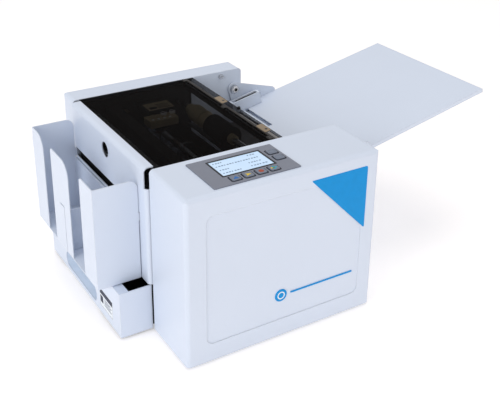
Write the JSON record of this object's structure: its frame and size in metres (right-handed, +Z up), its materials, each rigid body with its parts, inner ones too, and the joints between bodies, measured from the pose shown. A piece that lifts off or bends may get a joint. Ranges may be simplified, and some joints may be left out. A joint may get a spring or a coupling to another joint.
{
  "type": "desktop card cutter",
  "caption": "Desktop sheet-fed card cutter with smoked lid, two-pocket card tray, sloped infeed tray and waste bin.",
  "frame": {"origin": "floor level, centre of the overall footprint", "axes": "+X along the paper path towards the infeed tray, -Y the operator side with the control panel, +Z up"},
  "size_m": [0.56, 0.348, 0.2142],
  "materials": {
    "white_enamel": "powder coat, fine texture",
    "steel_grey": "zinc-plated sheet",
    "shaft_steel": "ground steel",
    "blade_steel": "ground and hardened",
    "black_metal": "black oxide",
    "smoked_acrylic": "smoked clear sheet",
    "rubber": "moulded rubber",
    "black_plastic": "fine grain",
    "grey_plastic": "printed film",
    "key_plastic": "soft touch",
    "beige_plastic": "moulded",
    "lcd_glass": "display window",
    "board": "circuit board",
    "pale_plastic": "moulded",
    "brass": "machined"
  },
  "bodies": {
    "chassis": {"front_cover": "white_enamel", "rear_cover": "white_enamel", "end_cover": "white_enamel", "base_pan": "white_enamel", "side_plate_front": "black_metal", "side_plate_rear": "black_metal", "tie_bars": "shaft_steel", "rubber_feet": "rubber", "hinge_beam": "black_metal", "lid_strip": "smoked_acrylic", "lid_pin": "shaft_steel", "control_fascia": "grey_plastic", "lcd_bezel": "black_plastic", "lcd_screen": "lcd_glass", "control_board": "board", "main_board": "board", "power_supply": "steel_grey", "mains_inlet": "black_plastic", "feed_motor": "black_metal", "drive_belts": "rubber", "cutter_motor": "black_plastic", "terminal_block": "beige_plastic", "cam_motor": "black_metal", "paper_bed": "black_metal", "lower_blade": "blade_steel", "beam_guides": "brass", "return_springs": "shaft_steel", "tray_pivots": "shaft_steel", "cover_screws": "shaft_steel"},
    "lid": {"lid_window": "smoked_acrylic"},
    "rocker": {"power_rocker": "black_plastic"},
    "motor_rotor": {"motor_pulley": "shaft_steel"},
    "feed_roller": {"feed_shaft": "shaft_steel", "feed_drum": "rubber", "feed_collars": "beige_plastic"},
    "lift": {"lift_plate": "black_metal"},
    "slitter_top": {"slitter_upper": "blade_steel"},
    "slitter_bottom": {"slitter_lower": "blade_steel"},
    "exit_top": {"exit_upper": "shaft_steel"},
    "exit_bottom": {"exit_lower": "shaft_steel"},
    "blade": {"blade_beam": "black_metal", "upper_blade": "blade_steel"},
    "cam": {"cam_shaft": "shaft_steel", "cams": "brass"},
    "catch_tray": {"card_tray": "white_enamel", "tray_tongue": "white_enamel", "tray_divider": "white_enamel"},
    "bin": {"bin_fascia": "white_enamel", "bin_box": "black_plastic", "finger_cup": "pale_plastic"},
    "feed_tray": {"infeed_tray": "white_enamel", "tray_ears": "white_enamel"},
    "guide_rear": {"side_guide_rear": "white_enamel"},
    "guide_front": {"side_guide_front": "white_enamel"},
    "key1": {"key_1": "key_plastic"},
    "key2": {"key_2": "key_plastic"},
    "key3": {"key_3": "key_plastic"},
    "key4": {"key_4": "key_plastic"},
    "key5": {"key_5": "key_plastic"},
    "key6": {"key_6": "key_plastic"}
  },
  "joints": [
    {"name": "lid_hinge", "type": "hinge", "parent": "chassis", "child": "lid", "pos_m": [-0.0625, 0, 0.2099], "axis": [0, 1, 0], "range_deg": [0, 80]},
    {"name": "power_rocker_tilt", "type": "hinge", "parent": "chassis", "child": "rocker", "pos_m": [0.022, 0, 0.079], "axis": [0, 1, 0], "range_deg": [-8, 8]},
    {"name": "feed_spin", "type": "hinge", "parent": "chassis", "child": "feed_roller", "pos_m": [-0.069, 0, 0.182], "axis": [0, 1, 0], "continuous": true},
    {"name": "motor_spin", "type": "hinge", "parent": "chassis", "child": "motor_rotor", "pos_m": [-0.069, 0, 0.1], "axis": [0, 1, 0], "continuous": true},
    {"name": "slitter_top_spin", "type": "hinge", "parent": "chassis", "child": "slitter_top", "pos_m": [-0.116, 0, 0.162], "axis": [0, 1, 0], "continuous": true},
    {"name": "slitter_bottom_spin", "type": "hinge", "parent": "chassis", "child": "slitter_bottom", "pos_m": [-0.116, 0, 0.138], "axis": [0, 1, 0], "continuous": true},
    {"name": "exit_top_spin", "type": "hinge", "parent": "chassis", "child": "exit_top", "pos_m": [-0.203, 0, 0.1563], "axis": [0, 1, 0], "continuous": true},
    {"name": "exit_bottom_spin", "type": "hinge", "parent": "chassis", "child": "exit_bottom", "pos_m": [-0.203, 0, 0.1437], "axis": [0, 1, 0], "continuous": true},
    {"name": "lift_tilt", "type": "hinge", "parent": "chassis", "child": "lift", "pos_m": [0.005, 0, 0.1464], "axis": [0, -1, 0], "range_deg": [0, 5], "stiffness_Nm_per_rad": 0.6, "springref_deg": -22.92},
    {"name": "cam_turn", "type": "hinge", "parent": "chassis", "child": "cam", "pos_m": [-0.166, 0, 0.1], "axis": [0, 1, 0], "range_deg": [0, 180]},
    {"name": "blade_slide", "type": "slide", "parent": "chassis", "child": "blade", "axis": [0, 0, 1], "range_m": [-0.008, 0], "stiffness_N_per_m": 2500, "springref_m": 0.012, "deforming": ["return_springs"]},
    {"name": "card_tray_pull", "type": "slide", "parent": "chassis", "child": "catch_tray", "axis": [-1, 0, 0], "range_m": [0, 0.07]},
    {"name": "bin_pull", "type": "slide", "parent": "chassis", "child": "bin", "axis": [-1, 0, 0], "range_m": [0, 0.13]},
    {"name": "tray_fold", "type": "hinge", "parent": "chassis", "child": "feed_tray", "pos_m": [0.0184, 0, 0.1836], "axis": [0, -1, 0], "range_deg": [0, 65]},
    {"name": "guide_rear_slide", "type": "slide", "parent": "feed_tray", "child": "guide_rear", "axis": [0, -1, 0], "range_m": [0, 0.05]},
    {"name": "guide_front_slide", "type": "slide", "parent": "feed_tray", "child": "guide_front", "axis": [0, 1, 0], "range_m": [0, 0.05]},
    {"name": "key_1_press", "type": "slide", "parent": "chassis", "child": "key1", "axis": [0, 0, -1], "range_m": [0, 0.0008], "stiffness_N_per_m": 800, "springref_m": -0.0006},
    {"name": "key_2_press", "type": "slide", "parent": "chassis", "child": "key2", "axis": [0, 0, -1], "range_m": [0, 0.0008], "stiffness_N_per_m": 800, "springref_m": -0.0006},
    {"name": "key_3_press", "type": "slide", "parent": "chassis", "child": "key3", "axis": [0, 0, -1], "range_m": [0, 0.0008], "stiffness_N_per_m": 800, "springref_m": -0.0006},
    {"name": "key_4_press", "type": "slide", "parent": "chassis", "child": "key4", "axis": [0, 0, -1], "range_m": [0, 0.0008], "stiffness_N_per_m": 800, "springref_m": -0.0006},
    {"name": "key_5_press", "type": "slide", "parent": "chassis", "child": "key5", "axis": [0, 0, -1], "range_m": [0, 0.0008], "stiffness_N_per_m": 800, "springref_m": -0.0006},
    {"name": "key_6_press", "type": "slide", "parent": "chassis", "child": "key6", "axis": [0, 0, -1], "range_m": [0, 0.0008], "stiffness_N_per_m": 800, "springref_m": -0.0006}
  ],
  "couplings": [
    {"joint": "feed_spin", "follows": "slitter_bottom_spin", "ratio": 1},
    {"joint": "motor_spin", "follows": "slitter_bottom_spin", "ratio": 1},
    {"joint": "slitter_top_spin", "follows": "slitter_bottom_spin", "ratio": -1},
    {"joint": "exit_bottom_spin", "follows": "slitter_bottom_spin", "ratio": 1},
    {"joint": "exit_top_spin", "follows": "slitter_bottom_spin", "ratio": -1},
    {"joint": "cam_turn", "follows": "blade_slide", "rad_per_m": -392.69}
  ]
}
